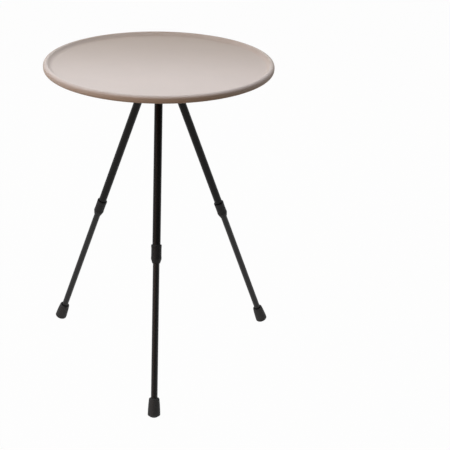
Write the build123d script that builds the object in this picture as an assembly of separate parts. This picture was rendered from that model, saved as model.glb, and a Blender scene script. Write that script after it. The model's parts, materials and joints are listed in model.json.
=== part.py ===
from build123d import *
import os
from math import cos, radians, sin, sqrt, tan

# Round camping table: a pressed tray on a folding tripod with telescoping legs.
# Millimetres and degrees. Z is up and the floor is at zero.
# The front leg points towards -Y, and the middle of the table's bounding box is over the origin.

# The table as a whole
table_height = 650.0
splay_angle = 21.3
front_leg_angle = -90.0
right_leg_angle = 30.0
left_leg_angle = 150.0

# Clearances
bond_gap = 0.02
running_gap = 0.05
side_gap = 0.2
loose_gap = 0.3
overrun = 2.0

# Tray, pressed from aluminium sheet
tray_radius = 225.0
tray_sheet = 1.5
tray_depth = 7.0
tray_lip_width = 8.0
tray_rim_drop = 15.0
tray_wall_run = 5.7
tray_floor_bend = 3.0
tray_crest_inner_bend = 2.8
tray_nose_share = 0.66
tray_hem_width = 10.0

# Backing plate bonded under the tray, and the stud that it holds
backing_radius = 62.0
backing_sheet = 1.6
backing_pad_radius = 46.0
backing_pad_slope = 2.5
backing_thickness = 3.2
stud_radius = 4.0
stud_flange_radius = 10.0
stud_flange_thickness = 1.5
stud_tip_chamfer = 0.8
stud_engagement = 14.0

# Hub: boss, top flange, three clevises and three gussets
hub_flange_radius = 44.0
hub_flange_thickness = 6.0
hub_flange_edge = 1.5
hub_boss_radius = 17.0
hub_height = 44.5
hub_core_depth = 30.0
hub_core_wall = 2.6
hub_core_web = 3.0
hub_gusset_thickness = 4.0
hub_gusset_drop = 24.0
hub_gusset_turn = 60.0
pivot_circle_radius = 31.5
pivot_drop = 27.3
cheek_end_radius = 9.0
cheek_thickness = 5.0
cheek_stop_radius = 20.0
cheek_edge = 0.8
cheek_lower_slope = 45.0

# Pivot bolt and nut
bolt_radius = 2.5
bolt_head_radius = 4.5
bolt_head_thickness = 2.8
bolt_socket_width = 3.0
bolt_socket_depth = 1.6
nut_width = 8.0
nut_thickness = 4.0
nut_dome_radius = 3.4
nut_dome_height = 2.2
nut_edge = 0.5

# Knuckle: the moulded eye at the top of each leg
eye_radius = 8.0
eye_width = 10.0
eye_edge = 0.6
heel_height = 16.0
heel_width = 8.0
heel_foot_height = 6.0
cap_start = 9.6
cap_thickness = 3.0
spigot_length = 24.0
spigot_bore_radius = 3.5
spigot_lead = 1.0
rivet_radius = 1.5
rivet_head_radius = 2.6
rivet_head_height = 0.9
rivet_setback = 9.0

# Leg tubes
upper_tube_radius = 8.0
lower_tube_radius = 6.5
tube_wall = 1.0
upper_tube_length = 309.5
bush_length = 25.0
bush_spigot_length = 14.0
bush_bore_radius = 3.0
bush_waist_depth = 0.6
bush_land = 6.0
bush_edge = 0.4

# Twist lock: split collet and collar
collet_wall = 0.8
collet_socket_depth = 14.6
collet_finger_length = 12.0
collet_shoulder = 3.0
collet_tip_wall = 1.1
collet_slot_width = 1.4
collet_fingers = 4
collet_edge = 0.3
collar_radius = 10.35
collar_length = 36.8
collar_mouth_radius = 9.6
collar_mouth_depth = 2.0
collar_lip = 0.3
collar_top_bevel = 1.0
collar_waist = 0.25
collar_land = 3.0
collar_taper_length = 8.5
collar_end_wall = 0.9

# Foot
foot_radius = 12.4
foot_neck_radius = 10.3
foot_dome_radius = 16.0
foot_length = 39.5
foot_socket_floor = 9.0
foot_side_height = 6.0
foot_corner = 1.6
foot_corner_share = 0.25
foot_bevel = 1.4
foot_bevel_height = 1.8
foot_belly = 0.3
foot_mouth_radius = 8.2
foot_mouth_depth = 2.0

# Hand knob under the hub
washer_radius = 13.0
washer_thickness = 2.0
washer_edge = 0.3
knob_radius = 19.0
knob_height = 18.0
knob_lobes = 7
knob_scallop_radius = 6.0
knob_scallop_depth = 2.2
knob_edge = 1.2
knob_boss_radius = 12.0
knob_boss_height = 3.0
insert_radius = 6.5
insert_flange_radius = 8.0
insert_flange_thickness = 1.0

# Heights that follow from the sizes above
floor_top = table_height - tray_depth
floor_underside = floor_top - tray_sheet
hub_top = floor_underside - backing_thickness
hub_flange_underside = hub_top - hub_flange_thickness
hub_bottom = hub_top - hub_height
pivot_height = hub_flange_underside - pivot_drop
washer_bottom = hub_bottom - washer_thickness
stud_end = washer_bottom - stud_engagement

leg_angles = {"front": front_leg_angle, "right": right_leg_angle, "left": left_leg_angle}

# Places along a leg, measured down its axis from the pivot
tube_start = cap_start + cap_thickness
upper_tube_end = tube_start + upper_tube_length
collet_top = upper_tube_end - collet_socket_depth
collet_end = upper_tube_end + collet_finger_length
collar_top = collet_top - collar_mouth_depth
collar_end = collar_top + collar_length
bush_end = upper_tube_end - loose_gap
foot_centre = (pivot_height - foot_dome_radius) / cos(radians(splay_angle))
foot_tip = foot_centre + foot_dome_radius
foot_top = foot_tip - foot_length
lower_tube_end = foot_tip - foot_socket_floor

# Widths that follow from the fits
tray_floor_radius = tray_radius - tray_lip_width - tray_wall_run
cheek_gap = eye_width + side_gap + side_gap
clevis_width = cheek_gap + cheek_thickness + cheek_thickness
stud_bore_radius = stud_radius + side_gap
upper_bore_radius = upper_tube_radius - tube_wall
lower_bore_radius = lower_tube_radius - tube_wall
spigot_radius = upper_bore_radius - bond_gap
bush_radius = upper_bore_radius - running_gap
collet_radius = upper_tube_radius + bond_gap + collet_wall
finger_bore_radius = lower_tube_radius + running_gap
finger_tip_radius = finger_bore_radius + collet_tip_wall
collar_bore_radius = collet_radius + running_gap

# The table's axis stands back from the origin, because the front foot reaches further than the tray's back edge
foot_side_centre = foot_tip - foot_side_height
foot_reach = pivot_circle_radius + foot_side_centre * sin(radians(splay_angle))
foot_reach = foot_reach + foot_radius * cos(radians(splay_angle))
table_axis = Pos(0, (foot_reach - tray_radius) / 2, 0)


def turned(outline, bends=0):
    """A solid turned about Z from a closed outline of radius and height."""
    line = FilletPolyline(*outline, radius=bends, close=True) if bends else Polyline(*outline, close=True)
    return revolve(Plane.XZ * make_face(line), axis=Axis.Z)


def slab(outline, thickness):
    """A flat solid that stands on the XZ plane, half its thickness to each side."""
    line = Polyline(*outline, close=True)
    return extrude(Plane.XZ * make_face(line), amount=thickness / 2, both=True)


def rod(radius, start, end):
    """A round bar along Z."""
    return Pos(0, 0, (start + end) / 2) * Cylinder(radius, abs(end - start))


def cross_rod(radius, length):
    """A round bar along Y, centred on the origin."""
    return Rot(90, 0, 0) * Cylinder(radius, length)


def leg_frame(azimuth):
    """The frame of one leg: origin at its pivot, Z up the leg, X outwards, Y along the pivot."""
    on_circle = Pos(pivot_circle_radius, 0, pivot_height)
    return table_axis * Rot(0, 0, azimuth) * on_circle * Rot(0, -splay_angle, 0)


def clevis_frame(azimuth):
    """The upright frame of one clevis: origin at the pivot, Z up, X outwards, Y along the pivot."""
    return table_axis * Rot(0, 0, azimuth) * Pos(pivot_circle_radius, 0, pivot_height)


# Tray: one sheet, pressed to a flat floor, a rounded rim and a hem that turns inwards

def make_tray():
    half = tray_sheet / 2
    crest = table_height - half
    wall = tray_radius - half
    hem = table_height - tray_rim_drop + half
    nose_bend = tray_lip_width * tray_nose_share
    points = [
        (0, floor_top - half),
        (tray_floor_radius, floor_top - half),
        (tray_floor_radius + tray_wall_run, crest),
        (wall, crest),
        (wall, hem),
        (wall - tray_hem_width, hem),
    ]
    bends = [tray_floor_bend, tray_crest_inner_bend, nose_bend, nose_bend]
    sheet_line = FilletPolyline(*points, radius=bends)
    sheet = trace(sheet_line, line_width=tray_sheet)
    return table_axis * revolve(Plane.XZ * sheet, axis=Axis.Z)


# Backing plate: a thin disc with a thicker pad that seats the hub and a pocket for the stud's flange

def make_backing_plate():
    flange_seat = floor_underside - stud_flange_thickness
    outline = [
        (stud_radius + bond_gap, hub_top),
        (backing_pad_radius, hub_top),
        (backing_pad_radius + backing_pad_slope, floor_underside - backing_sheet),
        (backing_radius, floor_underside - backing_sheet),
        (backing_radius, floor_underside),
        (stud_flange_radius + bond_gap, floor_underside),
        (stud_flange_radius + bond_gap, flange_seat),
        (stud_radius + bond_gap, flange_seat),
    ]
    return table_axis * turned(outline)


def make_clamp_stud():
    flange_seat = floor_underside - stud_flange_thickness
    outline = [
        (0, floor_underside),
        (stud_flange_radius, floor_underside),
        (stud_flange_radius, flange_seat),
        (stud_radius, flange_seat),
        (stud_radius, stud_end + stud_tip_chamfer),
        (stud_radius - stud_tip_chamfer, stud_end),
        (0, stud_end),
    ]
    return table_axis * turned(outline)


# Hub: a moulding with a cored boss, three clevises and a gusset between each two

def clevis_block():
    """One clevis before its slot and its hole, seen from the side."""
    slope = radians(cheek_lower_slope)
    tangent = (-cheek_end_radius * sin(slope), -cheek_end_radius * cos(slope))
    ceiling = hub_top - pivot_height
    run = pivot_circle_radius + tangent[0]
    inner_height = tangent[1] + run * tan(slope)
    side = [
        Line((cheek_end_radius, 0), (cheek_end_radius, ceiling)),
        Line((cheek_end_radius, ceiling), (-pivot_circle_radius, ceiling)),
        Line((-pivot_circle_radius, ceiling), (-pivot_circle_radius, inner_height)),
        Line((-pivot_circle_radius, inner_height), tangent),
        CenterArc((0, 0), cheek_end_radius, -90 - cheek_lower_slope, 90 + cheek_lower_slope),
    ]
    block = extrude(Plane.XZ * make_face(side), amount=clevis_width / 2, both=True)
    faces = block.edges().group_by(Axis.Y)
    return chamfer(faces[0] + faces[-1], cheek_edge)


def clevis_cuts():
    """The slot for the knuckle and the hole for the pivot bolt."""
    slot_length = cheek_end_radius + pivot_circle_radius - cheek_stop_radius + overrun
    slot_height = hub_flange_underside - pivot_height + cheek_end_radius + overrun
    slot_bottom = -cheek_end_radius - overrun
    slot = Box(slot_length, cheek_gap, slot_height, align=(Align.MIN, Align.CENTER, Align.MIN))
    slot = Pos(cheek_stop_radius - pivot_circle_radius, 0, slot_bottom) * slot
    return slot + cross_rod(bolt_radius + bond_gap, clevis_width + overrun)


def gusset():
    """A triangular rib from the boss to the flange's edge."""
    reach = hub_flange_radius - hub_flange_edge
    outline = [
        (0, hub_flange_underside + hub_flange_edge),
        (reach, hub_flange_underside + hub_flange_edge),
        (reach, hub_flange_underside),
        (hub_boss_radius, hub_flange_underside - hub_gusset_drop),
        (0, hub_flange_underside - hub_gusset_drop),
    ]
    return slab(outline, hub_gusset_thickness)


def make_hub():
    flange = rod(hub_flange_radius, hub_flange_underside, hub_top)
    flange = fillet(flange.edges(), hub_flange_edge)
    hub = flange + rod(hub_boss_radius, hub_bottom, hub_top)
    for azimuth in leg_angles.values():
        place = table_axis.inverse() * clevis_frame(azimuth)
        hub += place * clevis_block()
        hub += Rot(0, 0, azimuth + hub_gusset_turn) * gusset()
    core_outer = hub_boss_radius - hub_core_wall
    core_inner = stud_bore_radius + hub_core_wall
    core = rod(core_outer, hub_bottom - overrun, hub_bottom + hub_core_depth)
    core -= rod(core_inner, hub_bottom - overrun, hub_bottom + hub_core_depth)
    centred = (Align.MIN, Align.CENTER, Align.CENTER)
    web = Box(hub_boss_radius, hub_core_web, 2 * hub_height, align=centred)
    for azimuth in leg_angles.values():
        core -= Rot(0, 0, azimuth) * Pos(0, 0, hub_bottom) * web
    hub -= core
    hub -= rod(stud_bore_radius, hub_bottom - overrun, hub_top + overrun)
    for azimuth in leg_angles.values():
        place = table_axis.inverse() * clevis_frame(azimuth)
        hub -= place * clevis_cuts()
    return table_axis * hub


def pivot_bolt():
    """A shoulder bolt along Y with a hexagon socket in its head."""
    outer = clevis_width / 2
    end = outer + nut_thickness
    head_top = outer + bolt_head_thickness
    shank = rod(bolt_radius, -end, outer)
    head = rod(bolt_head_radius, outer, head_top)
    head = fillet(head.edges().group_by(Axis.Z)[-1], nut_edge)
    socket = extrude(RegularPolygon(bolt_socket_width / 2, 6, major_radius=False), bolt_socket_depth)
    bolt = shank + head - Pos(0, 0, head_top - bolt_socket_depth) * socket
    return Rot(90, 0, 0) * bolt


def pivot_nut():
    """A domed nut on the far side of the clevis."""
    outer = clevis_width / 2
    body = extrude(RegularPolygon(nut_width / 2, 6, major_radius=False), nut_thickness)
    dome_sphere = (nut_dome_radius ** 2 + nut_dome_height ** 2) / (2 * nut_dome_height)
    top = nut_thickness + nut_dome_height
    dome = Pos(0, 0, top - dome_sphere) * Sphere(dome_sphere)
    dome &= rod(nut_dome_radius, nut_thickness, top)
    nut = body + dome - rod(bolt_radius + bond_gap, -overrun, nut_thickness + bond_gap)
    return Rot(-90, 0, 0) * Pos(0, 0, outer) * nut


# Knuckle: an eye and a heel between the cheeks, a cap as wide as the tube, and a spigot in the tube

def heel_side():
    """The eye and the heel from the side, in the upright frame, at the leg's full splay."""
    face = cheek_stop_radius - pivot_circle_radius + side_gap
    return [
        (face, heel_foot_height),
        (face, heel_height),
        (face + heel_width, heel_height),
        (eye_radius * cos(radians(splay_angle)), eye_radius * sin(radians(splay_angle))),
        (0, 0),
    ]


def make_knuckle():
    eye = cross_rod(eye_radius, eye_width)
    eye = chamfer(eye.edges().filter_by(GeomType.CIRCLE), eye_edge)
    heel = slab(heel_side(), eye_width)
    outlines = heel.edges().group_by(Axis.Y)
    heel = Rot(0, splay_angle, 0) * chamfer(outlines[0] + outlines[-1], eye_edge)
    neck = Pos(0, 0, -tube_start / 2) * Box(2 * eye_radius - eye_edge, eye_width, tube_start)
    neck &= rod(upper_tube_radius, -tube_start, 0)
    cap = rod(upper_tube_radius, -tube_start, -cap_start)
    spigot_end = -tube_start - spigot_length
    spigot = rod(spigot_radius, spigot_end, -tube_start)
    spigot = chamfer(spigot.edges().group_by(Axis.Z)[0], spigot_lead)
    knuckle = eye + heel + neck + cap + spigot
    knuckle -= rod(spigot_bore_radius, spigot_end - overrun, -tube_start)
    knuckle -= cross_rod(bolt_radius + running_gap, eye_width + overrun)
    rivet_place = Pos(0, 0, -tube_start - rivet_setback)
    knuckle -= rivet_place * cross_rod(rivet_radius + bond_gap, 2 * upper_tube_radius)
    return knuckle


def make_upper_tube():
    tube = rod(upper_tube_radius, -upper_tube_end, -tube_start)
    tube -= rod(upper_bore_radius, -upper_tube_end - overrun, -tube_start + overrun)
    rivet_place = Pos(0, 0, -tube_start - rivet_setback)
    return tube - rivet_place * cross_rod(rivet_radius + bond_gap, 2 * upper_tube_radius + overrun)


def make_tube_rivet():
    head_sphere = (rivet_head_radius ** 2 + rivet_head_height ** 2) / (2 * rivet_head_height)
    end = upper_tube_radius + rivet_head_height
    shank = rod(rivet_radius, -upper_tube_radius, upper_tube_radius)
    dome = Pos(0, 0, end - head_sphere) * Sphere(head_sphere)
    head = dome & rod(rivet_head_radius + overrun, upper_tube_radius, end)
    rivet = shank + head + Rot(180, 0, 0) * head
    return Pos(0, 0, -tube_start - rivet_setback) * Rot(90, 0, 0) * rivet


# Twist lock: the collet's fingers close on the lower tube when the collar is turned

def make_collet():
    shoulder_end = upper_tube_end + collet_shoulder
    outline = [
        (upper_tube_radius + bond_gap, -collet_top),
        (collet_radius - collet_edge, -collet_top),
        (collet_radius, -collet_top - collet_edge),
        (collet_radius, -shoulder_end),
        (finger_tip_radius, -collet_end),
        (finger_bore_radius, -collet_end),
        (finger_bore_radius, -upper_tube_end),
        (upper_tube_radius + bond_gap, -upper_tube_end),
    ]
    collet = turned(outline)
    slot = Box(collet_radius + overrun, collet_slot_width, collet_finger_length,
               align=(Align.MIN, Align.CENTER, Align.MAX))
    for spot in PolarLocations(0, collet_fingers):
        collet -= spot * Pos(0, 0, -shoulder_end) * slot
    return collet


def make_lock_collar():
    cone_start = upper_tube_end + collet_shoulder
    seat = collet_end + loose_gap
    taper_top = collar_end - collar_taper_length
    end_bore = lower_tube_radius + loose_gap
    end_radius = end_bore + collar_end_wall
    waist_radius = collar_radius - collar_waist
    band_end = collar_top + collar_top_bevel + collar_land
    outline = [
        (collar_bore_radius, -collet_top),
        (collar_mouth_radius, -collar_top),
        (collar_mouth_radius + collar_lip, -collar_top),
        (collar_radius, -collar_top - collar_top_bevel),
        (collar_radius, -band_end),
        (waist_radius, -band_end - collar_land),
        (waist_radius, -taper_top + collar_land + collar_land),
        (collar_radius, -taper_top + collar_land),
        (collar_radius, -taper_top),
        (end_radius, -collar_end),
        (end_bore, -collar_end),
        (end_bore, -seat),
        (finger_tip_radius + loose_gap, -seat),
        (collar_bore_radius, -cone_start),
    ]
    bends = [0, 0, 0, collar_top_bevel / 2, 0, 0, 0, 0, collar_land, 0, 0, 0, 0, 0]
    return turned(outline, bends)


def make_lower_tube():
    tube = rod(lower_tube_radius, -lower_tube_end, -bush_end)
    return tube - rod(lower_bore_radius, -lower_tube_end - overrun, -bush_end + overrun)


def make_slider_bush():
    top = bush_end - bush_length
    waist = bush_radius - bush_waist_depth
    outline = [
        (bush_bore_radius, -top),
        (bush_radius - bush_edge, -top),
        (bush_radius, -top - bush_edge),
        (bush_radius, -top - bush_land),
        (waist, -top - bush_land - bush_waist_depth),
        (waist, -bush_end + bush_land + bush_waist_depth),
        (bush_radius, -bush_end + bush_land),
        (bush_radius, -bush_end),
        (lower_bore_radius - bond_gap, -bush_end),
        (lower_bore_radius - bond_gap, -bush_end - bush_spigot_length),
        (bush_bore_radius, -bush_end - bush_spigot_length),
    ]
    return turned(outline)


# Foot: a rubber cup on the tube's end with a domed sole

def make_foot():
    side_bottom = foot_tip - foot_side_height
    dome_half = sqrt(foot_dome_radius ** 2 - (foot_radius - foot_corner) ** 2)
    sole_edge = foot_centre + dome_half
    corner_middle = (foot_radius - foot_corner * foot_corner_share, -(side_bottom + sole_edge) / 2)
    belly_height = (foot_top + side_bottom) / 2
    belly_radius = (foot_neck_radius + foot_radius) / 2 + foot_belly
    outline = [
        Line((0, -foot_tip), (0, -foot_top)),
        Line((0, -foot_top), (foot_neck_radius - foot_bevel, -foot_top)),
        Line((foot_neck_radius - foot_bevel, -foot_top), (foot_neck_radius, -foot_top - foot_bevel_height)),
        ThreePointArc((foot_neck_radius, -foot_top - foot_bevel_height), (belly_radius, -belly_height),
                      (foot_radius, -side_bottom)),
        ThreePointArc((foot_radius, -side_bottom), corner_middle, (foot_radius - foot_corner, -sole_edge)),
        RadiusArc((foot_radius - foot_corner, -sole_edge), (0, -foot_tip), foot_dome_radius),
    ]
    foot = revolve(Plane.XZ * make_face(outline), axis=Axis.Z)
    mouth = Cone(lower_tube_radius + bond_gap, foot_mouth_radius, foot_mouth_depth,
                 align=(Align.CENTER, Align.CENTER, Align.MAX))
    foot -= Pos(0, 0, -foot_top) * mouth
    return foot - rod(lower_tube_radius + bond_gap, -lower_tube_end, -foot_top + overrun)


# Hand knob: it runs on the stud and pulls the tray down on the hub

def make_knob_washer():
    ring = rod(washer_radius, washer_bottom, hub_bottom)
    ring = chamfer(ring.edges(), washer_edge)
    return table_axis * (ring - rod(stud_bore_radius, washer_bottom - overrun, hub_bottom + overrun))


def make_clamp_knob():
    knob_bottom = washer_bottom - knob_height
    body_top = washer_bottom - knob_boss_height
    body = rod(knob_radius, knob_bottom, body_top)
    scallop = rod(knob_scallop_radius, knob_bottom - overrun, body_top + overrun)
    spots = PolarLocations(knob_radius + knob_scallop_radius - knob_scallop_depth, knob_lobes)
    body -= [spot * scallop for spot in spots]
    rims = body.edges().group_by(Axis.Z)
    body = fillet(rims[0] + rims[-1], knob_edge)
    knob = body + rod(knob_boss_radius, knob_bottom + knob_edge, washer_bottom)
    flange_seat = washer_bottom - insert_flange_thickness
    knob -= rod(insert_radius + bond_gap, stud_end, washer_bottom + overrun)
    knob -= rod(insert_flange_radius + bond_gap, flange_seat, washer_bottom + overrun)
    return table_axis * knob


def make_knob_insert():
    insert = rod(insert_radius, stud_end, washer_bottom)
    insert += rod(insert_flange_radius, washer_bottom - insert_flange_thickness, washer_bottom)
    return table_axis * (insert - rod(stud_radius + running_gap, stud_end - overrun, washer_bottom + overrun))


def main():
    os.makedirs("parts", exist_ok=True)
    azimuths = leg_angles.values()
    pieces = {
        "tray": make_tray(),
        "backing_plate": make_backing_plate(),
        "clamp_stud": make_clamp_stud(),
        "hub": make_hub(),
        "pivot_bolts": Compound(children=[clevis_frame(azimuth) * pivot_bolt() for azimuth in azimuths]),
        "pivot_nuts": Compound(children=[clevis_frame(azimuth) * pivot_nut() for azimuth in azimuths]),
        "knob_washer": make_knob_washer(),
        "clamp_knob": make_clamp_knob(),
        "knob_insert": make_knob_insert(),
    }
    leg_pieces = {
        "knuckle": make_knuckle(),
        "upper_tube": make_upper_tube(),
        "tube_rivet": make_tube_rivet(),
        "collet": make_collet(),
        "lock_collar": make_lock_collar(),
        "lower_tube": make_lower_tube(),
        "slider_bush": make_slider_bush(),
        "foot": make_foot(),
    }
    for side, azimuth in leg_angles.items():
        for name, piece in leg_pieces.items():
            pieces[f"{side}_{name}"] = leg_frame(azimuth) * piece
    for name, piece in pieces.items():
        export_step(piece, f"parts/{name}.step")
        print(name, len(piece.solids()), round(piece.volume), piece.is_valid)


main()
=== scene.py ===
import bmesh
import bpy
import json
from math import atan2, cos, hypot, pi, radians, sin, sqrt, tan
from mathutils import Matrix, Vector


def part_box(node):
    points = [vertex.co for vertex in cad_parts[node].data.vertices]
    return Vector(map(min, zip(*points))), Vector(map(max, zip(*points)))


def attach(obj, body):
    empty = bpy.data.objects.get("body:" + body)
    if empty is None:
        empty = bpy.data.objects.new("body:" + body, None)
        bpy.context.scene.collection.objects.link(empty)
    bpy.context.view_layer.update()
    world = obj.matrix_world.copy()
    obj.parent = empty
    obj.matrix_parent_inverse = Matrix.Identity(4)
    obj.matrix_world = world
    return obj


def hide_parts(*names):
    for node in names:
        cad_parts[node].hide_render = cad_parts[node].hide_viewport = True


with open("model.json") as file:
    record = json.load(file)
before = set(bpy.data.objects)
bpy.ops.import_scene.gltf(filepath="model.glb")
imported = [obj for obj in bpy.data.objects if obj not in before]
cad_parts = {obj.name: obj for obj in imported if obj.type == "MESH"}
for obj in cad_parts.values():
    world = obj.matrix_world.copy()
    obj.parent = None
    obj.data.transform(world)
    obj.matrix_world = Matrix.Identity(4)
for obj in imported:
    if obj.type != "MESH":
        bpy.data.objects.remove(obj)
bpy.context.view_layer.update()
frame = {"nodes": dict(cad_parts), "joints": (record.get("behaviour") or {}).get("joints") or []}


# Camera
# It stands in front of the table, a little to its right, and looks down on the tray.
# It aims to the right of the table, so that the table is left of the middle of the picture.
joints = {joint["name"]: joint for joint in frame["joints"]}
table_axis = Vector(joints["knob_turn"]["pos_m"])
camera_place = radians(2.182)
camera_reach = 2.14
camera_height = 1.274
camera_turn = radians(-1.481)
camera_pitch = radians(24.481)
camera_roll = radians(1.577)
camera_sensor = 36
camera_lens = 90.28
camera_range = 60
camera_data = bpy.data.cameras.new("camera")
camera_data.sensor_width = camera_sensor
camera_data.lens = camera_lens
camera_data.clip_end = camera_range
camera = bpy.data.objects.new("camera", camera_data)
bpy.context.scene.collection.objects.link(camera)
camera.location = (
    camera_reach * sin(camera_place), table_axis.y - camera_reach * cos(camera_place), camera_height)
camera_pose = Matrix.Rotation(camera_turn, 3, "Z") @ Matrix.Rotation(pi / 2 - camera_pitch, 3, "X")
camera.rotation_euler = (camera_pose @ Matrix.Rotation(camera_roll, 3, "Z")).to_euler()
bpy.context.scene.camera = camera
bpy.context.scene.view_settings.view_transform = "Standard"


# Studio
# A wide pale floor under a white surround, with soft lamps above, behind, at the left and at the left front.
# A dark card reaches from the left, round behind the camera, to the right, and darkens only reflections.
floor_radius = 9.0
floor_corners = 64
floor_colour = (0.42, 0.37, 0.32, 1)
floor_white_share = 0.98
surround_light = (1.0, 0.86, 0.72, 1)
surround_strength = 0.2
white = (1, 1, 1, 1)
card_radius = 4.5
card_foot = 0.02
card_height = 3.6
card_start = radians(-168)
card_end = radians(5)
card_steps = 24
card_colour = (0.02, 0.02, 0.02, 1)


def seen_rays(nodes, links):
    """One where the ray comes from the camera or from a reflection or glass, else zero."""
    path = nodes.new("ShaderNodeLightPath")
    first = nodes.new("ShaderNodeMath")
    first.operation = "MAXIMUM"
    links.new(path.outputs["Is Camera Ray"], first.inputs[0])
    links.new(path.outputs["Is Glossy Ray"], first.inputs[1])
    both = nodes.new("ShaderNodeMath")
    both.operation = "MAXIMUM"
    links.new(first.outputs[0], both.inputs[0])
    links.new(path.outputs["Is Transmission Ray"], both.inputs[1])
    return both.outputs[0]


def studio_floor():
    """A floor that shows white with a trace of the table's shadow, and can't be seen from below."""
    mesh = bpy.data.meshes.new("studio_floor")
    shape = bmesh.new()
    bmesh.ops.create_circle(shape, cap_ends=True, segments=floor_corners, radius=floor_radius)
    shape.to_mesh(mesh)
    shape.free()
    floor = bpy.data.objects.new("studio_floor", mesh)
    bpy.context.scene.collection.objects.link(floor)
    material = bpy.data.materials.new("studio_floor")
    material.use_nodes = True
    nodes, links = material.node_tree.nodes, material.node_tree.links
    nodes.clear()
    paint = nodes.new("ShaderNodeBsdfDiffuse")
    paint.inputs["Color"].default_value = floor_colour
    glow = nodes.new("ShaderNodeEmission")
    glow.inputs["Color"].default_value = white
    share = nodes.new("ShaderNodeMath")
    share.operation = "MULTIPLY"
    share.inputs[1].default_value = floor_white_share
    links.new(seen_rays(nodes, links), share.inputs[0])
    top = nodes.new("ShaderNodeMixShader")
    links.new(share.outputs[0], top.inputs[0])
    links.new(paint.outputs[0], top.inputs[1])
    links.new(glow.outputs[0], top.inputs[2])
    underside = nodes.new("ShaderNodeBsdfTransparent")
    geometry = nodes.new("ShaderNodeNewGeometry")
    whole = nodes.new("ShaderNodeMixShader")
    links.new(geometry.outputs["Backfacing"], whole.inputs[0])
    links.new(top.outputs[0], whole.inputs[1])
    links.new(underside.outputs[0], whole.inputs[2])
    output = nodes.new("ShaderNodeOutputMaterial")
    links.new(whole.outputs[0], output.inputs["Surface"])
    mesh.materials.append(material)


def studio_surround():
    """A soft warm light from all round. The camera and reflections see plain white instead."""
    world = bpy.data.worlds.new("studio_surround")
    world.use_nodes = True
    nodes, links = world.node_tree.nodes, world.node_tree.links
    nodes.clear()
    lighting = nodes.new("ShaderNodeBackground")
    lighting.inputs["Color"].default_value = surround_light
    lighting.inputs["Strength"].default_value = surround_strength
    backdrop = nodes.new("ShaderNodeBackground")
    backdrop.inputs["Color"].default_value = white
    backdrop.inputs["Strength"].default_value = 1.0
    mix = nodes.new("ShaderNodeMixShader")
    links.new(seen_rays(nodes, links), mix.inputs[0])
    links.new(lighting.outputs[0], mix.inputs[1])
    links.new(backdrop.outputs[0], mix.inputs[2])
    output = nodes.new("ShaderNodeOutputWorld")
    links.new(mix.outputs[0], output.inputs["Surface"])
    bpy.context.scene.world = world


def dark_card():
    """The curved dark card, which only reflections see."""
    mesh = bpy.data.meshes.new("dark_card")
    points, faces = [], []
    for step in range(card_steps + 1):
        angle = card_start + (card_end - card_start) * step / card_steps
        for height in (card_foot, card_height):
            points.append((card_radius * cos(angle), card_radius * sin(angle), height))
        if step:
            faces.append((2 * step - 2, 2 * step, 2 * step + 1, 2 * step - 1))
    mesh.from_pydata(points, [], faces)
    card = bpy.data.objects.new("dark_card", mesh)
    bpy.context.scene.collection.objects.link(card)
    material = bpy.data.materials.new("dark_card")
    material.use_nodes = True
    shader = material.node_tree.nodes["Principled BSDF"]
    shader.inputs["Base Color"].default_value = card_colour
    shader.inputs["Roughness"].default_value = 1
    mesh.materials.append(material)
    card.visible_camera = False
    card.visible_diffuse = False
    card.visible_shadow = False


def softbox(name, place, aim, width, height, power, tint):
    """A soft lamp of that size in metres, turned to face a point."""
    lamp = bpy.data.lights.new(name, "AREA")
    lamp.shape = "RECTANGLE"
    lamp.size = width
    lamp.size_y = height
    lamp.energy = power
    lamp.color = tint
    box = bpy.data.objects.new(name, lamp)
    bpy.context.scene.collection.objects.link(box)
    box.location = place
    box.rotation_euler = (Vector(aim) - Vector(place)).to_track_quat("-Z", "Y").to_euler()
    box.visible_camera = False


studio_floor()
studio_surround()
dark_card()
softbox("lamp_over", place=(-0.19, -0.12, 0.95), aim=(-0.19, -0.12, 0.6), width=1.2, height=0.15,
        power=2.98, tint=(0.635, 0.765, 1))
softbox("lamp_back", place=(0, 1.9, 1.75), aim=(0, 0, 0.65), width=2.6, height=1.0,
        power=18.6, tint=(0.9, 0.95, 1))
softbox("lamp_left", place=(-2.1, -1.2, 2.3), aim=(0, 0, 0.4), width=1.5, height=1.5,
        power=29.4, tint=(0.95, 0.98, 1))
softbox("lamp_front", place=(-1.8, -2, 0.9), aim=(0, 0, 0.6), width=1.2, height=0.8,
        power=8.5, tint=(1, 0.48, 0.3))


# Tray
# One sheet of aluminium pressed to a flat floor with a rolled rim, and powder coated in satin champagne.
# The rim's hem turns inwards beneath, so that no cut edge faces the hand.
mm = 0.001
tray_height = 650 * mm
tray_radius = 225 * mm
tray_sheet = 1.5 * mm
tray_depth = 7 * mm
tray_lip_width = 8 * mm
tray_wall_run = 5.7 * mm
tray_rim_drop = 15 * mm
tray_hem_width = 10 * mm
tray_floor_bend = 10 * mm
tray_crest_bend = 3.4 * mm
tray_nose_share = 0.66
tray_bend_steps = 12
tray_turn_steps = 320
sheet_edge_steps = 6
straight_margin = 0.001
weld_distance = 1e-7
champagne_deep = (0.448, 0.357, 0.285, 1)
champagne_pale = (0.492, 0.393, 0.315, 1)
grit_fineness = 4.5
grit_share = 0.22
speck_share = 0.9
rub_and_highlight_samples = 4
rub_and_highlight_gain = 5.0
rub_and_highlight_patch_scale = 260.0


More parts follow.
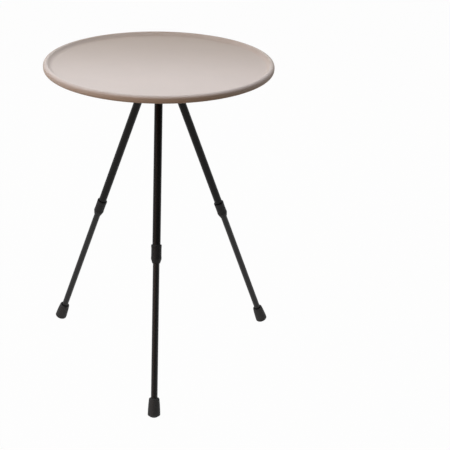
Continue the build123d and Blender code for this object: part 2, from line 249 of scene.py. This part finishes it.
def rounded(corners, bends, steps):
    """The corners of an open line in order, each one rounded to its own bend."""
    line = [Vector(corners[0])]
    for before, corner, after, bend in zip(corners, corners[1:], corners[2:], bends):
        before, corner, after = Vector(before), Vector(corner), Vector(after)
        back = (before - corner).normalized()
        on = (after - corner).normalized()
        half_angle = back.angle(on) / 2
        if bend == 0 or half_angle > pi / 2 - straight_margin:
            line.append(corner)
            continue
        start = corner + back * bend / tan(half_angle)
        end = corner + on * bend / tan(half_angle)
        centre = corner + (back + on).normalized() * bend / sin(half_angle)
        first, last = start - centre, end - centre
        turn = first.angle(last)
        for step in range(steps + 1):
            share = step / steps
            blend = first * sin((1 - share) * turn) + last * sin(share * turn)
            line.append(centre + blend / sin(turn))
    line.append(Vector(corners[-1]))
    return line


def sheet_outline(middle, thickness):
    """The closed outline of a bent sheet, from the line through the middle of its thickness."""
    upper, lower = [], []
    for index, point in enumerate(middle):
        before = middle[max(index - 1, 0)]
        after = middle[min(index + 1, len(middle) - 1)]
        along = (after - before).normalized()
        across = Vector((-along.y, along.x)) * thickness / 2
        upper.append(point + across)
        lower.append(point - across)
    along = (middle[-1] - middle[-2]).normalized()
    across = Vector((-along.y, along.x)) * thickness / 2
    tip = [middle[-1] + across * cos(angle) + along * sin(angle) * thickness / 2
           for angle in (pi * step / sheet_edge_steps for step in range(1, sheet_edge_steps))]
    return upper + tip + lower[::-1]


def turned(name, outline, steps, place, closed=True, shape=None, crease=35):
    """A mesh turned about Z from an outline of radius and height, then put in its place.
    Shape may move each point. Edges that bend by more than crease degrees stay crisp."""
    mesh = bpy.data.meshes.new(name)
    points, faces = [], []
    count = len(outline)
    for step in range(steps):
        angle = 2 * pi * step / steps
        for radius, height in outline:
            if shape:
                radius, height = shape(radius, height, angle)
            points.append((radius * cos(angle), radius * sin(angle), height))
    spans = count if closed else count - 1
    for step in range(steps):
        this, following = step * count, (step + 1) % steps * count
        for index in range(spans):
            other = (index + 1) % count
            faces.append((this + index, following + index, following + other, this + other))
    mesh.from_pydata(points, [], faces)
    mesh.transform(place)
    welded = bmesh.new()
    welded.from_mesh(mesh)
    bmesh.ops.remove_doubles(welded, verts=welded.verts, dist=weld_distance)
    bmesh.ops.dissolve_degenerate(welded, edges=welded.edges, dist=weld_distance)
    bmesh.ops.recalc_face_normals(welded, faces=welded.faces)
    welded.to_mesh(mesh)
    welded.free()
    mesh.shade_smooth()
    mesh.set_sharp_from_angle(angle=radians(crease))
    piece = bpy.data.objects.new(name, mesh)
    bpy.context.scene.collection.objects.link(piece)
    return piece


def new_group(name, inputs, outputs):
    """An empty shader node group with named sockets: name, kind and starting value."""
    group = bpy.data.node_groups.new(name, "ShaderNodeTree")
    for label, kind, value in inputs:
        socket = group.interface.new_socket(name=label, in_out="INPUT", socket_type=kind)
        if value is not None:
            socket.default_value = value
    for label, kind in outputs:
        group.interface.new_socket(name=label, in_out="OUTPUT", socket_type=kind)
    nodes, links = group.nodes, group.links
    return group, nodes, links, nodes.new("NodeGroupInput"), nodes.new("NodeGroupOutput")


def add_noise(nodes, links, vector, scale, detail=2.0, roughness=0.5):
    """A noise texture. Its scale is a number or another node's output."""
    noise = nodes.new("ShaderNodeTexNoise")
    noise.inputs["Detail"].default_value = detail
    noise.inputs["Roughness"].default_value = roughness
    links.new(vector, noise.inputs["Vector"])
    if isinstance(scale, (int, float)):
        noise.inputs["Scale"].default_value = scale
    else:
        links.new(scale, noise.inputs["Scale"])
    return noise.outputs["Fac"]


def add_math(nodes, links, operation, first, second):
    """A sum of one operation. Each side is a number or another node's output."""
    node = nodes.new("ShaderNodeMath")
    node.operation = operation
    for socket, value in zip(node.inputs, (first, second)):
        if isinstance(value, (int, float)):
            socket.default_value = value
        else:
            links.new(value, socket)
    return node.outputs[0]


def orange_peel():
    """The fine ripple of a baked powder coat, and the faint cloudiness of its colour."""
    group, nodes, links, into, out = new_group(
        "orange peel",
        [("Vector", "NodeSocketVector", None), ("Ripple Scale", "NodeSocketFloat", 700.0),
         ("Cloud Scale", "NodeSocketFloat", 14.0)],
        [("Height", "NodeSocketFloat"), ("Tone", "NodeSocketFloat")])
    vector = into.outputs["Vector"]
    ripple = add_noise(nodes, links, vector, into.outputs["Ripple Scale"], detail=1.5, roughness=0.4)
    grit_scale = add_math(nodes, links, "MULTIPLY", into.outputs["Ripple Scale"], grit_fineness)
    grit = add_noise(nodes, links, vector, grit_scale, detail=1.0)
    grit = add_math(nodes, links, "MULTIPLY", grit, grit_share)
    links.new(add_math(nodes, links, "ADD", ripple, grit), out.inputs["Height"])
    cloud = add_noise(nodes, links, vector, into.outputs["Cloud Scale"], detail=3.0, roughness=0.55)
    speck = add_math(nodes, links, "MULTIPLY", grit, speck_share)
    links.new(add_math(nodes, links, "ADD", cloud, speck), out.inputs["Tone"])
    return group


def edge_rub_and_highlight():
    """A mask of the outer edges, where handling and the mould leave a surface smoother, and where a paler
    colour paints the highlight that a rounded edge catches.
    """
    group, nodes, links, into, out = new_group(
        "edge rub and highlight",
        [("Vector", "NodeSocketVector", None), ("Width", "NodeSocketFloat", 0.5 * mm)],
        [("Mask", "NodeSocketFloat")])
    bevel = nodes.new("ShaderNodeBevel")
    bevel.samples = rub_and_highlight_samples
    links.new(into.outputs["Width"], bevel.inputs["Radius"])
    geometry = nodes.new("ShaderNodeNewGeometry")
    dot = nodes.new("ShaderNodeVectorMath")
    dot.operation = "DOT_PRODUCT"
    links.new(bevel.outputs["Normal"], dot.inputs[0])
    links.new(geometry.outputs["Normal"], dot.inputs[1])
    turn = add_math(nodes, links, "SUBTRACT", 1.0, dot.outputs["Value"])
    turn = add_math(nodes, links, "MULTIPLY", turn, rub_and_highlight_gain)
    patch = add_noise(nodes, links, into.outputs["Vector"], rub_and_highlight_patch_scale, detail=3.0, roughness=0.6)
    mask = nodes.new("ShaderNodeMath")
    mask.operation = "MULTIPLY"
    mask.use_clamp = True
    links.new(turn, mask.inputs[0])
    links.new(patch, mask.inputs[1])
    links.new(mask.outputs[0], out.inputs["Mask"])
    return group


def finish(name, group, settings, deep, pale, rough, bump, sockets=None, rub_and_highlight=None, turn=None):
    """A material in the tones deep to pale and the roughness from low to high, as its group's tone says.
    Bump is strength and distance. Rub is the colour of the painted highlight on the edges, and the roughness
    and width of the rubbed edges.
    Sockets are the shader's own values, and turn is the angles that turn the pattern.
    A Mix node takes two colours at its inputs 6 and 7, and two numbers at 2 and 3."""
    material = bpy.data.materials.new(name)
    material.use_nodes = True
    nodes, links = material.node_tree.nodes, material.node_tree.links
    shader = nodes["Principled BSDF"]
    if sockets:
        for label, value in sockets.items():
            shader.inputs[label].default_value = value
    place = nodes.new("ShaderNodeTexCoord").outputs["Object"]
    if turn is not None:
        mapping = nodes.new("ShaderNodeMapping")
        mapping.inputs["Rotation"].default_value = turn
        links.new(place, mapping.inputs["Vector"])
        place = mapping.outputs[0]
    surface = nodes.new("ShaderNodeGroup")
    surface.node_tree = group
    links.new(place, surface.inputs["Vector"])
    for label, value in settings.items():
        surface.inputs[label].default_value = value
    colour = nodes.new("ShaderNodeMix")
    colour.data_type = "RGBA"
    colour.inputs[6].default_value = deep
    colour.inputs[7].default_value = pale
    links.new(surface.outputs["Tone"], colour.inputs[0])
    colour = colour.outputs[2]
    span = nodes.new("ShaderNodeMapRange")
    span.inputs["To Min"].default_value = rough[0]
    span.inputs["To Max"].default_value = rough[1]
    links.new(surface.outputs["Tone"], span.inputs["Value"])
    roughness = span.outputs["Result"]
    # Rubbed edges get a lower roughness, and a paler colour that is a painted highlight.
    if rub_and_highlight:
        rub_and_highlight_edges = nodes.new("ShaderNodeGroup")
        rub_and_highlight_edges.node_tree = edge_rub_and_highlight_group
        rub_and_highlight_edges.inputs["Width"].default_value = rub_and_highlight["width"]
        links.new(place, rub_and_highlight_edges.inputs["Vector"])
        painted_edge_highlight = nodes.new("ShaderNodeMix")
        painted_edge_highlight.data_type = "RGBA"
        painted_edge_highlight.inputs[7].default_value = rub_and_highlight["colour"]
        links.new(rub_and_highlight_edges.outputs["Mask"], painted_edge_highlight.inputs[0])
        links.new(colour, painted_edge_highlight.inputs[6])
        colour = painted_edge_highlight.outputs[2]
        smoother = nodes.new("ShaderNodeMix")
        smoother.inputs[3].default_value = rub_and_highlight["rough"]
        links.new(rub_and_highlight_edges.outputs["Mask"], smoother.inputs[0])
        links.new(roughness, smoother.inputs[2])
        roughness = smoother.outputs[0]
    links.new(colour, shader.inputs["Base Color"])
    links.new(roughness, shader.inputs["Roughness"])
    relief = nodes.new("ShaderNodeBump")
    relief.inputs["Strength"].default_value = bump[0]
    relief.inputs["Distance"].default_value = bump[1]
    links.new(surface.outputs["Height"], relief.inputs["Height"])
    links.new(relief.outputs["Normal"], shader.inputs["Normal"])
    return material


orange_peel_group = orange_peel()
edge_rub_and_highlight_group = edge_rub_and_highlight()
powder_coat = finish(
    "powder coat", orange_peel_group, {"Ripple Scale": 650.0, "Cloud Scale": 16.0},
    deep=champagne_deep, pale=champagne_pale, rough=(0.58, 0.68), bump=(0.25, 0.06 * mm),
    sockets={"Specular IOR Level": 0.25})

half_sheet = tray_sheet / 2
tray_floor_middle = tray_height - tray_depth - half_sheet
tray_crest = tray_height - half_sheet
tray_wall = tray_radius - half_sheet
tray_hem = tray_height - tray_rim_drop + half_sheet
tray_nose_bend = tray_lip_width * tray_nose_share
tray_floor_radius = tray_radius - tray_lip_width - tray_wall_run
tray_middle = rounded(
    [(0.0, tray_floor_middle), (tray_floor_radius, tray_floor_middle),
     (tray_floor_radius + tray_wall_run, tray_crest), (tray_wall, tray_crest), (tray_wall, tray_hem),
     (tray_wall - tray_hem_width, tray_hem)],
    [tray_floor_bend, tray_crest_bend, tray_nose_bend, tray_nose_bend], tray_bend_steps)
on_axis = Matrix.Translation((0, table_axis.y, 0))
tray = turned("tray_pressing", sheet_outline(tray_middle, tray_sheet), tray_turn_steps, on_axis, crease=50)
tray.data.materials.append(powder_coat)
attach(tray, "top")
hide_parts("tray")


# Backing plate
# A thin stamped disc of bare aluminium, bonded under the tray, with a thicker pad for the hub to pull on.
# A thin bead of adhesive shows all round its edge.
plate_radius = 62 * mm
plate_sheet = 1.6 * mm
bead_width = 1.3 * mm
bead_overlap = 0.1 * mm
bead_back_share = 0.75
bead_profile_shares = ((0.25, 0.62), (0.6, 0.36), (0.88, 0.14))
bead_waves = ((7, 0.16, 1.1), (17, 0.12, 2.3), (41, 0.07, 0))
bead_steps = 180
drift_scale = 24.0
drawn_tone_share = 0.5


def drawn_lines():
    """Fine lines along Z, as drawing and rolling leave in metal, and a slow drift of tone."""
    group, nodes, links, into, out = new_group(
        "drawn lines",
        [("Vector", "NodeSocketVector", None), ("Line Scale", "NodeSocketFloat", 1600.0),
         ("Stretch", "NodeSocketFloat", 60.0)],
        [("Height", "NodeSocketFloat"), ("Tone", "NodeSocketFloat")])
    shrink = add_math(nodes, links, "DIVIDE", 1.0, into.outputs["Stretch"])
    squeeze = nodes.new("ShaderNodeCombineXYZ")
    squeeze.inputs["X"].default_value = 1
    squeeze.inputs["Y"].default_value = 1
    links.new(shrink, squeeze.inputs["Z"])
    vector = nodes.new("ShaderNodeVectorMath")
    vector.operation = "MULTIPLY"
    links.new(into.outputs["Vector"], vector.inputs[0])
    links.new(squeeze.outputs[0], vector.inputs[1])
    lines = add_noise(nodes, links, vector.outputs[0], into.outputs["Line Scale"], roughness=0.6)
    links.new(lines, out.inputs["Height"])
    drift = add_noise(nodes, links, into.outputs["Vector"], drift_scale, detail=3.0, roughness=0.6)
    both = add_math(nodes, links, "ADD", lines, drift)
    links.new(add_math(nodes, links, "MULTIPLY", both, drawn_tone_share), out.inputs["Tone"])
    return group


def dress(node, material):
    """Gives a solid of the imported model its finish."""
    slots = frame["nodes"][node].data.materials
    slots.clear()
    slots.append(material)


drawn_lines_group = drawn_lines()
rolled_aluminium = finish(
    "rolled aluminium", drawn_lines_group, {"Line Scale": 900.0, "Stretch": 40.0},
    deep=(0.50, 0.50, 0.51, 1), pale=(0.64, 0.64, 0.65, 1), rough=(0.34, 0.46), bump=(0.25, 0.04 * mm),
    sockets={"Metallic": 1.0}, turn=(0, pi / 2, 0))
dress("backing_plate", rolled_aluminium)


def bead_shape(radius, height, angle):
    """The adhesive squeezes out a little more in some places than in others."""
    squeeze = sum(size * sin(count * angle + start) for count, size, start in bead_waves)
    return plate_radius + (radius - plate_radius) * (1 + squeeze), height


tray_underside = tray_height - tray_depth - tray_sheet
bead_inside = plate_radius - bead_overlap
bead_outline = [(bead_inside, tray_underside), (bead_inside, tray_underside - bead_back_share * plate_sheet)]
bead_outline += [(plate_radius + wide * bead_width, tray_underside - deep * plate_sheet)
                 for wide, deep in bead_profile_shares]
bead_outline += [(plate_radius + bead_width, tray_underside)]
adhesive = finish(
    "adhesive bead", orange_peel_group, {"Ripple Scale": 300.0, "Cloud Scale": 60.0},
    deep=(0.34, 0.33, 0.31, 1), pale=(0.44, 0.43, 0.40, 1), rough=(0.38, 0.55), bump=(0.3, 0.2 * mm))
bead = turned("adhesive_bead", bead_outline, bead_steps, on_axis, shape=bead_shape)
bead.data.materials.append(adhesive)
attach(bead, "top")


# Clamp stud
# A zinc plated steel stud with a real thread, held by its flange between the plate and the tray.
# The hand knob runs on the thread and pulls the tray down on the hub.
stud_radius = 4 * mm
stud_flange_radius = 10 * mm
stud_flange_height = 1.5 * mm
stud_neck = 2.5 * mm
stud_tip_bevel = 0.9 * mm
thread_pitch = 1.25 * mm
thread_depth = 0.65 * mm
thread_steepness = 1.35
thread_root_share = 0.15
thread_rows = 10
thread_steps = 40
stud_low, stud_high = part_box("clamp_stud")


def thread_radius(height, angle):
    """The radius of the thread at a height and an angle, with its crests and roots a little flat."""
    if height > stud_high.z - stud_neck:
        return stud_radius
    phase = (height / thread_pitch - angle / (2 * pi)) % 1
    rise = min(max((1 - abs(2 * phase - 1)) * thread_steepness - thread_root_share, 0), 1)
    bevel = stud_radius - stud_tip_bevel + (height - stud_low.z)
    return min(stud_radius - thread_depth * (1 - rise), bevel)


def stud_shape(radius, height, angle):
    """Cuts the thread in the shank."""
    if radius == stud_radius:
        radius = thread_radius(height, angle)
    return radius, height


flange_bottom = stud_high.z - stud_flange_height
shank_rows = int((flange_bottom - stud_low.z) / thread_pitch * thread_rows)
shank_row_height = (flange_bottom - stud_low.z) / shank_rows
stud_outline = [(0.0, stud_high.z), (stud_flange_radius, stud_high.z), (stud_flange_radius, flange_bottom)]
stud_outline += [(stud_radius, flange_bottom - shank_row_height * row) for row in range(shank_rows + 1)]
stud_outline += [(0.0, stud_low.z)]
# Its edges are smoother, and paler as a painted highlight.
zinc = finish(
    "zinc plated steel", orange_peel_group, {"Ripple Scale": 1500.0, "Cloud Scale": 90.0},
    deep=(0.46, 0.47, 0.50, 1), pale=(0.60, 0.585, 0.55, 1), rough=(0.26, 0.40), bump=(0.15, 0.03 * mm),
    sockets={"Metallic": 1.0}, rub_and_highlight={"colour": (0.70, 0.70, 0.70, 1), "rough": 0.22, "width": 0.3 * mm})
stud = turned(
    "threaded_stud", stud_outline, thread_steps, on_axis, closed=False, shape=stud_shape, crease=40)
stud.data.materials.append(zinc)
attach(stud, "top")
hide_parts("clamp_stud")


# Hub
# One moulding in glass-filled black nylon: a round flange, a bored boss, three clevises and three ribs.
# Its skin has a fine spark-eroded grain, and its edges are rubbed a little smoother and carry a painted
# highlight.
mottle_scale = 70.0
mottle_share = 0.75
fleck_share = 0.35


def moulded_grain():
    """The pebbled skin that a spark-eroded mould gives, and the mottling of filled plastic."""
    group, nodes, links, into, out = new_group(
        "moulded grain",
        [("Vector", "NodeSocketVector", None), ("Grain Scale", "NodeSocketFloat", 1800.0)],
        [("Height", "NodeSocketFloat"), ("Tone", "NodeSocketFloat")])
    pebble = nodes.new("ShaderNodeTexVoronoi")
    pebble.feature = "SMOOTH_F1"
    links.new(into.outputs["Vector"], pebble.inputs["Vector"])
    links.new(into.outputs["Grain Scale"], pebble.inputs["Scale"])
    fine = add_noise(nodes, links, into.outputs["Vector"], into.outputs["Grain Scale"], roughness=0.6)
    links.new(add_math(nodes, links, "SUBTRACT", fine, pebble.outputs["Distance"]), out.inputs["Height"])
    mottle = add_noise(nodes, links, into.outputs["Vector"], mottle_scale, detail=4.0, roughness=0.6)
    fleck = add_math(nodes, links, "MULTIPLY", fine, fleck_share)
    mottle = add_math(nodes, links, "MULTIPLY", mottle, mottle_share)
    links.new(add_math(nodes, links, "ADD", mottle, fleck), out.inputs["Tone"])
    return group


moulded_grain_group = moulded_grain()
# Its edges are smoother, and paler as a painted highlight.
nylon = finish(
    "black nylon", moulded_grain_group, {"Grain Scale": 1500.0},
    deep=(0.013, 0.013, 0.0135, 1), pale=(0.026, 0.026, 0.027, 1), rough=(0.44, 0.58),
    bump=(0.35, 0.08 * mm), sockets={"Specular IOR Level": 0.45},
    rub_and_highlight={"colour": (0.05, 0.05, 0.052, 1), "rough": 0.36, "width": 0.6 * mm})
dress("hub", nylon)


# Pivot bolts and nuts
# Zinc plated steel shoulder bolts with hexagon sockets, one across each clevis.
# A domed nut holds each bolt, and the leg's knuckle turns on its shoulder.
dress("pivot_bolts", zinc)
dress("pivot_nuts", zinc)


# Knuckles and rivets
# Each leg's moulded eye turns on its pivot bolt, and its heel stops the leg at full splay.
# A domed rivet through the tube holds the knuckle's spigot.
sides = ("front", "right", "left")
for side in sides:
    dress(f"{side}_knuckle", nylon)
    dress(f"{side}_tube_rivet", zinc)


# Upper tubes
# Drawn aluminium tube in satin black anodising, with a small bevel at each cut end.
# The drawing leaves faint lines along the tube, which stretch the highlight.
upper_radius = 8 * mm
tube_wall = 1 * mm
tube_bevel = 0.25 * mm
upper_start = 12.6 * mm
upper_end = 322.1 * mm
tube_steps = 96
tube_rings = 24
upper_shine = 0.17


def leg_place(side):
    """The frame of one leg: origin at its pivot, Z up the leg, Y along the pivot."""
    up = Vector(joints[f"{side}_leg_slide"]["axis"]).normalized()
    across = Vector(joints[f"{side}_leg_fold"]["axis"]).normalized()
    out = across.cross(up)
    turn = Matrix((out, across, up)).transposed().to_4x4()
    return Matrix.Translation(joints[f"{side}_leg_fold"]["pos_m"]) @ turn


def tube_outline(radius, start, end):
    """A tube's closed outline, with bevelled ends and rings along its length."""
    inner = radius - tube_wall
    outside = [(radius, -start - tube_bevel - (end - start - 2 * tube_bevel) * ring / tube_rings)
               for ring in range(tube_rings + 1)]
    inside = [(inner, height) for _, height in outside[::-1]]
    low_end = [(radius - tube_bevel, -end), (inner + tube_bevel, -end)]
    return [(radius - tube_bevel, -start)] + outside + low_end + inside + [(inner + tube_bevel, -start)]


def anodised(side, tube, shine):
    """A tube's finish, with its drawn lines turned to run along that leg."""
    # The tube's edges are smoother, and paler as a painted highlight.
    return finish(
        f"satin black anodising {side} {tube}", drawn_lines_group, {"Line Scale": 1300.0, "Stretch": 70.0},
        deep=(0.006, 0.006, 0.006, 1), pale=(0.012, 0.012, 0.0115, 1), rough=(0.36, 0.46),
        bump=(0.12, 0.03 * mm), sockets={"Specular IOR Level": shine},
        rub_and_highlight={"colour": (0.04, 0.04, 0.04, 1), "rough": 0.3, "width": 0.3 * mm},
        turn=leg_place(side).to_3x3().inverted().to_euler())


for side in sides:
    upper_outline = tube_outline(upper_radius, upper_start, upper_end)
    tube = turned(f"{side}_outer_tube", upper_outline, tube_steps, leg_place(side))
    tube.data.materials.append(anodised(side, "upper", upper_shine))
    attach(tube, f"{side}_upper_leg")
    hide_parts(f"{side}_upper_tube")


# Collets
# A split, tapered sleeve of black nylon on the upper tube's end. Its fingers close on the lower tube.
# Only its rim shows above the collar, in the collar's shadow.
collet_nylon = finish(
    "collet nylon", moulded_grain_group, {"Grain Scale": 1800.0},
    deep=(0.006, 0.006, 0.006, 1), pale=(0.012, 0.012, 0.012, 1), rough=(0.5, 0.62), bump=(0.3, 0.06 * mm),
    sockets={"Specular IOR Level": 0.3})
for side in sides:
    dress(f"{side}_collet", collet_nylon)


# Lock collars
# A turned grip in black nylon that closes the collet: a rounded top, a shallow waist and a tapered end.
# The two halves of its mould leave a fine line down each side.
collar_radius = 10.35 * mm
collar_bore = 8.87 * mm
collar_start = 305.5 * mm
collar_end = 342.3 * mm
collar_throat_mouth = 9.6 * mm
collar_mouth_depth = 2 * mm
collar_mouth_bend = 0.1 * mm
collar_lip = 0.3 * mm
collar_lip_bend = 0.12 * mm
collar_top_bevel = 1 * mm
collar_top_bend = 0.5 * mm
collar_land = 3 * mm
collar_waist = 0.25 * mm
collar_waist_bend = 1.2 * mm
collar_taper = 8.5 * mm
collar_taper_bend = 3 * mm
collar_mouth = 6.8 * mm
collar_mouth_edge = 7.7 * mm
collar_edge_bend = 0.35 * mm
collar_throat = 334.4 * mm
collar_seat = 7.95 * mm
collar_cone_start = 325.1 * mm
collar_bend_steps = 6
collar_steps = 128
parting_height = 0.05 * mm
parting_half_angle = radians(2.2)


def parting_line(radius, height, angle):
    """A fine raised line down two sides, where the halves of the mould met."""
    off = min(abs(angle - pi / 2), abs(angle - 3 * pi / 2))
    if off < parting_half_angle and radius > collar_mouth_edge:
        radius += parting_height
    return radius, height


def collar_outline():
    """The collar's closed outline: its outside from the top down, and its inside back up over the cone."""
    band_end = collar_start + collar_top_bevel + collar_land
    taper_top = collar_end - collar_taper
    waist = collar_radius - collar_waist
    waist_bends = [collar_waist_bend] * 4
    outside = rounded(
        [(collar_bore, -collar_start - collar_mouth_depth), (collar_throat_mouth, -collar_start),
         (collar_throat_mouth + collar_lip, -collar_start),
         (collar_radius, -collar_start - collar_top_bevel), (collar_radius, -band_end),
         (waist, -band_end - collar_land), (waist, -taper_top + 2 * collar_land),
         (collar_radius, -taper_top + collar_land), (collar_radius, -taper_top),
         (collar_mouth_edge, -collar_end), (collar_mouth, -collar_end), (collar_mouth, -collar_throat)],
        [collar_mouth_bend, collar_lip_bend, collar_top_bend] + waist_bends
        + [collar_taper_bend, collar_edge_bend, 0], collar_bend_steps)
    return outside + [Vector((collar_seat, -collar_throat)), Vector((collar_bore, -collar_cone_start))]


# Its edges are smoother, and paler as a painted highlight.
collar_nylon = finish(
    "collar nylon", moulded_grain_group, {"Grain Scale": 1300.0},
    deep=(0.007, 0.007, 0.007, 1), pale=(0.013, 0.013, 0.013, 1), rough=(0.48, 0.60), bump=(0.4, 0.1 * mm),
    sockets={"Specular IOR Level": 0.25},
    rub_and_highlight={"colour": (0.03, 0.03, 0.03, 1), "rough": 0.42, "width": 0.5 * mm})
for side in sides:
    collar_place = leg_place(side)
    collar = turned(f"{side}_twist_collar", collar_outline(), collar_steps, collar_place, shape=parting_line)
    collar.data.materials.append(collar_nylon)
    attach(collar, f"{side}_collar")
    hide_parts(f"{side}_lock_collar")


# Lower tubes
# The inner tube of each leg, drawn and anodised like the upper one.
# It slides up inside the upper tube to shorten the leg, and the collet holds it.
lower_radius = 6.5 * mm
lower_start = 321.8 * mm
lower_end = 639.18 * mm
lower_shine = 0.36
for side in sides:
    lower_outline = tube_outline(lower_radius, lower_start, lower_end)
    tube = turned(f"{side}_inner_tube", lower_outline, tube_steps, leg_place(side))
    tube.data.materials.append(anodised(side, "lower", lower_shine))
    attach(tube, f"{side}_lower_leg")
    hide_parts(f"{side}_lower_tube")


# Slider bushes
# A natural acetal bush pushed in the top of each lower tube.
# It guides the tube inside the upper one, and stops on the collet when the leg is drawn out.
acetal = finish(
    "acetal", moulded_grain_group, {"Grain Scale": 900.0},
    deep=(0.66, 0.65, 0.61, 1), pale=(0.74, 0.735, 0.70, 1), rough=(0.34, 0.44), bump=(0.12, 0.05 * mm))
for side in sides:
    dress(f"{side}_slider_bush", acetal)


# Feet
# A moulded rubber cup pushed on the tube's end, wider towards a domed sole with rings of tread.
# A fine groove runs round above the sole, and the mould leaves a line down each side.
foot_tip = 648.184 * mm
foot_length = 39.5 * mm
foot_radius = 12.4 * mm
foot_neck = 10.3 * mm
foot_belly = 0.3 * mm
foot_bevel = 1.4 * mm
foot_bevel_height = 1.8 * mm
foot_bevel_share = 0.3
foot_bevel_bend = 1.2 * mm
foot_bore = 6.52 * mm
foot_mouth = 8.2 * mm
foot_mouth_depth = 2 * mm
foot_socket_floor = 9 * mm
foot_side_height = 6 * mm
foot_dome = 16 * mm
foot_corner = 1.6 * mm
foot_corner_share = 0.25
foot_steps = 96
foot_bevel_steps = 5
foot_side_steps = 26
foot_corner_steps = 8
foot_sole_steps = 60
foot_line_height = 0.06 * mm
foot_line_margin = 0.1 * mm
foot_line_half_angle = radians(1.5)
groove_depth = 0.22 * mm
groove_width = 0.9 * mm
groove_rise_share = 2.2
groove_room_share = 3
groove_lean_share = 0.35
groove_shares = ((1.2, 0), (0.5, 0), (0.18, 0.9), (-0.18, 0.9), (-0.5, 0), (-1.2, 0))
tread_depth = 0.35 * mm
tread_pitch = 2.1 * mm
tread_start_share = 0.8
tread_edge_margin = 0.9 * mm
tread_gap_share = 0.45


def arc_through(first, middle, last, steps):
    """Points on the arc through three points, without its first one. Its centre is as far from all three."""
    ax, ay, bx, by, cx, cy = *first, *middle, *last
    d = 2 * (ax * (by - cy) + bx * (cy - ay) + cx * (ay - by))
    a2, b2, c2 = ax * ax + ay * ay, bx * bx + by * by, cx * cx + cy * cy
    ux = (a2 * (by - cy) + b2 * (cy - ay) + c2 * (ay - by)) / d
    uy = (a2 * (cx - bx) + b2 * (ax - cx) + c2 * (bx - ax)) / d
    radius = hypot(ax - ux, ay - uy)
    start, end = atan2(ay - uy, ax - ux), atan2(cy - uy, cx - ux)
    turn = (end - start + pi) % (2 * pi) - pi
    return [(ux + radius * cos(start + turn * step / steps), uy + radius * sin(start + turn * step / steps))
            for step in range(1, steps + 1)]


def foot_outline():
    """The foot's outline: socket, bevelled mouth, sides with their groove, corner, and ringed sole."""
    top = foot_tip - foot_length
    side_bottom = foot_tip - foot_side_height
    centre = foot_tip - foot_dome
    sole_edge = centre + sqrt(foot_dome ** 2 - (foot_radius - foot_corner) ** 2)
    mouth_edge = (foot_neck - foot_bevel, -top)
    bevel_middle = (foot_neck - foot_bevel_share * foot_bevel, -top - foot_bevel_share * foot_bevel_height)
    shoulder = (foot_neck, -top - foot_bevel_height)
    belly = ((foot_neck + foot_radius) / 2 + foot_belly, -(top + side_bottom) / 2)
    side_low = (foot_radius, -side_bottom)
    corner = (foot_radius - foot_corner * foot_corner_share, -(side_bottom + sole_edge) / 2)
    edge = (foot_radius - foot_corner, -sole_edge)
    upper = [(0.0, -foot_tip + foot_socket_floor), (foot_bore, -foot_tip + foot_socket_floor),
             (foot_bore, -top - foot_mouth_depth), (foot_mouth, -top)]
    upper += rounded([mouth_edge, bevel_middle, shoulder], [foot_bevel_bend], foot_bevel_steps)
    upper += arc_through(shoulder, belly, side_low, foot_side_steps)
    groove_middle = -side_bottom + groove_rise_share * groove_width
    outline = []
    for radius, height in upper:
        if radius <= foot_neck or abs(height - groove_middle) >= groove_room_share * groove_width:
            outline.append((radius, height))
    slope = (foot_radius - belly[0]) / (side_bottom + belly[1])
    for up, deep in groove_shares:
        height = groove_middle + up * groove_width
        radius = foot_radius - (height + side_bottom) * slope * groove_lean_share
        outline.append((min(radius, foot_radius) - deep * groove_depth, height))
    outline.append(side_low)
    outline += arc_through(side_low, corner, edge, foot_corner_steps)
    for step in range(1, foot_sole_steps + 1):
        radius = edge[0] * (1 - step / foot_sole_steps)
        height = -centre - sqrt(foot_dome ** 2 - radius ** 2)
        if tread_start_share * tread_pitch < radius < edge[0] - tread_edge_margin:
            wave = (1 - cos(2 * pi * radius / tread_pitch)) / 2
            height += tread_depth * max(0, wave - tread_gap_share) / (1 - tread_gap_share)
        outline.append((radius, height))
    return outline


def rubber_line(radius, height, angle):
    """The mould's line down two sides of the rubber."""
    off = min(abs(angle - pi / 2), abs(angle - 3 * pi / 2))
    if off < foot_line_half_angle and foot_neck < radius < foot_radius - foot_line_margin:
        radius += foot_line_height
    return radius, height


# Its edges are smoother, and paler as a painted highlight.
rubber = finish(
    "black rubber", moulded_grain_group, {"Grain Scale": 1100.0},
    deep=(0.014, 0.014, 0.014, 1), pale=(0.026, 0.026, 0.026, 1), rough=(0.60, 0.74), bump=(0.4, 0.1 * mm),
    sockets={"Specular IOR Level": 0.45},
    rub_and_highlight={"colour": (0.045, 0.045, 0.045, 1), "rough": 0.56, "width": 0.6 * mm})
for side in sides:
    outline, place = foot_outline(), leg_place(side)
    foot = turned(f"{side}_rubber_foot", outline, foot_steps, place, closed=False, shape=rubber_line)
    foot.data.materials.append(rubber)
    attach(foot, f"{side}_lower_leg")
    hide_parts(f"{side}_foot")


# Knob, washer and insert
# A lobed hand knob of black nylon turns on a brass insert.
# A captive acetal washer keeps it off the hub.
dress("knob_washer", acetal)
dress("clamp_knob", nylon)
brass = finish(
    "turned brass", drawn_lines_group, {"Line Scale": 1400.0, "Stretch": 1.0},
    deep=(0.58, 0.40, 0.16, 1), pale=(0.72, 0.54, 0.25, 1), rough=(0.24, 0.36), bump=(0.2, 0.03 * mm),
    sockets={"Metallic": 1.0})
dress("knob_insert", brass)
